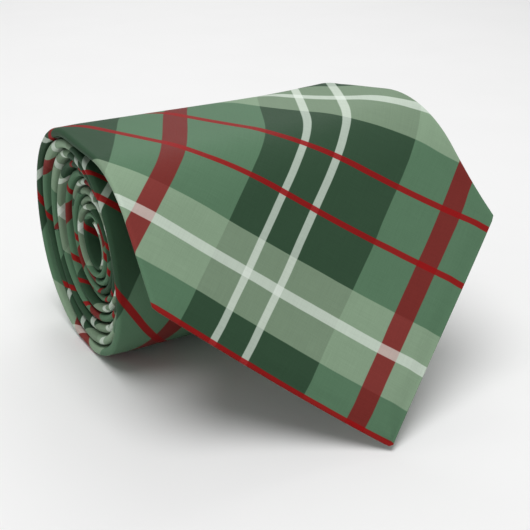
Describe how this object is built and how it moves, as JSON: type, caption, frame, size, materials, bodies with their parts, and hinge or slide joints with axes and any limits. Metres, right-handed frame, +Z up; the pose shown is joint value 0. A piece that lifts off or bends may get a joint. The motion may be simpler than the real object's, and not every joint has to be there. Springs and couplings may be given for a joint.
{
  "type": "necktie",
  "caption": "Checked necktie rolled from its narrow tail, with the wide pointed blade running off the roll to the surface in front.",
  "frame": {"origin": "on the surface, below the roll's axis, at the middle of the blade's width", "axes": "+X along the roll's axis, +Y from the blade's point to the roll, +Z up"},
  "size_m": [0.102, 0.1273, 0.0726],
  "materials": {
    "tartan_cloth": "fine woven polyester, satin sheen, printed tartan check",
    "interlining_wool": "brushed wool blend",
    "lining_satin": "satin",
    "sewing_thread": "matt thread",
    "label_tape": "woven tape, blank"
  },
  "bodies": {
    "blade_point": {"blade_shell_point": "tartan_cloth", "blade_interlining_point": "interlining_wool", "blade_tipping_point": "lining_satin", "hem_thread_point": "sewing_thread"},
    "blade_front": {"blade_shell_front": "tartan_cloth", "blade_interlining_front": "interlining_wool", "blade_tipping_front": "lining_satin", "hem_thread_front": "sewing_thread", "blade_bar_tack": "sewing_thread", "slip_stitch_front": "sewing_thread"},
    "back_turn": {"blade_shell_back": "tartan_cloth", "blade_interlining_back": "interlining_wool", "slip_stitch_back": "sewing_thread"},
    "roll": {"blade_shell_rolled": "tartan_cloth", "neck_shell": "tartan_cloth", "tail_shell": "tartan_cloth", "blade_interlining_rolled": "interlining_wool", "tail_interlining": "interlining_wool", "interlining_tack": "sewing_thread", "slip_stitch_rolled": "sewing_thread", "blade_seam_thread": "sewing_thread", "tail_seam_thread": "sewing_thread", "keeper_loop": "tartan_cloth", "keeper_loop_stitches": "sewing_thread", "care_label": "label_tape", "care_label_stitches": "sewing_thread", "tail_tipping": "lining_satin", "tail_bar_tack": "sewing_thread"}
  },
  "joints": [
    {"name": "blade_lift", "type": "hinge", "parent": "back_turn", "child": "blade_front", "pos_m": [0, 0, 0.06952], "axis": [-1, 0, 0], "range_deg": [0, 80]},
    {"name": "back_peel", "type": "hinge", "parent": "roll", "child": "back_turn", "pos_m": [0, 0.03449, 0.028], "axis": [-1, 0, 0], "range_deg": [0, 40]},
    {"name": "point_curl", "type": "hinge", "parent": "blade_front", "child": "blade_point", "pos_m": [-0.051, -0.06029, 0.04111], "axis": [-0.9947, 0.0785, -0.0658], "range_deg": [0, 70]}
  ],
  "couplings": [
    {"joint": "back_peel", "follows": "blade_lift", "ratio": 0.5}
  ]
}
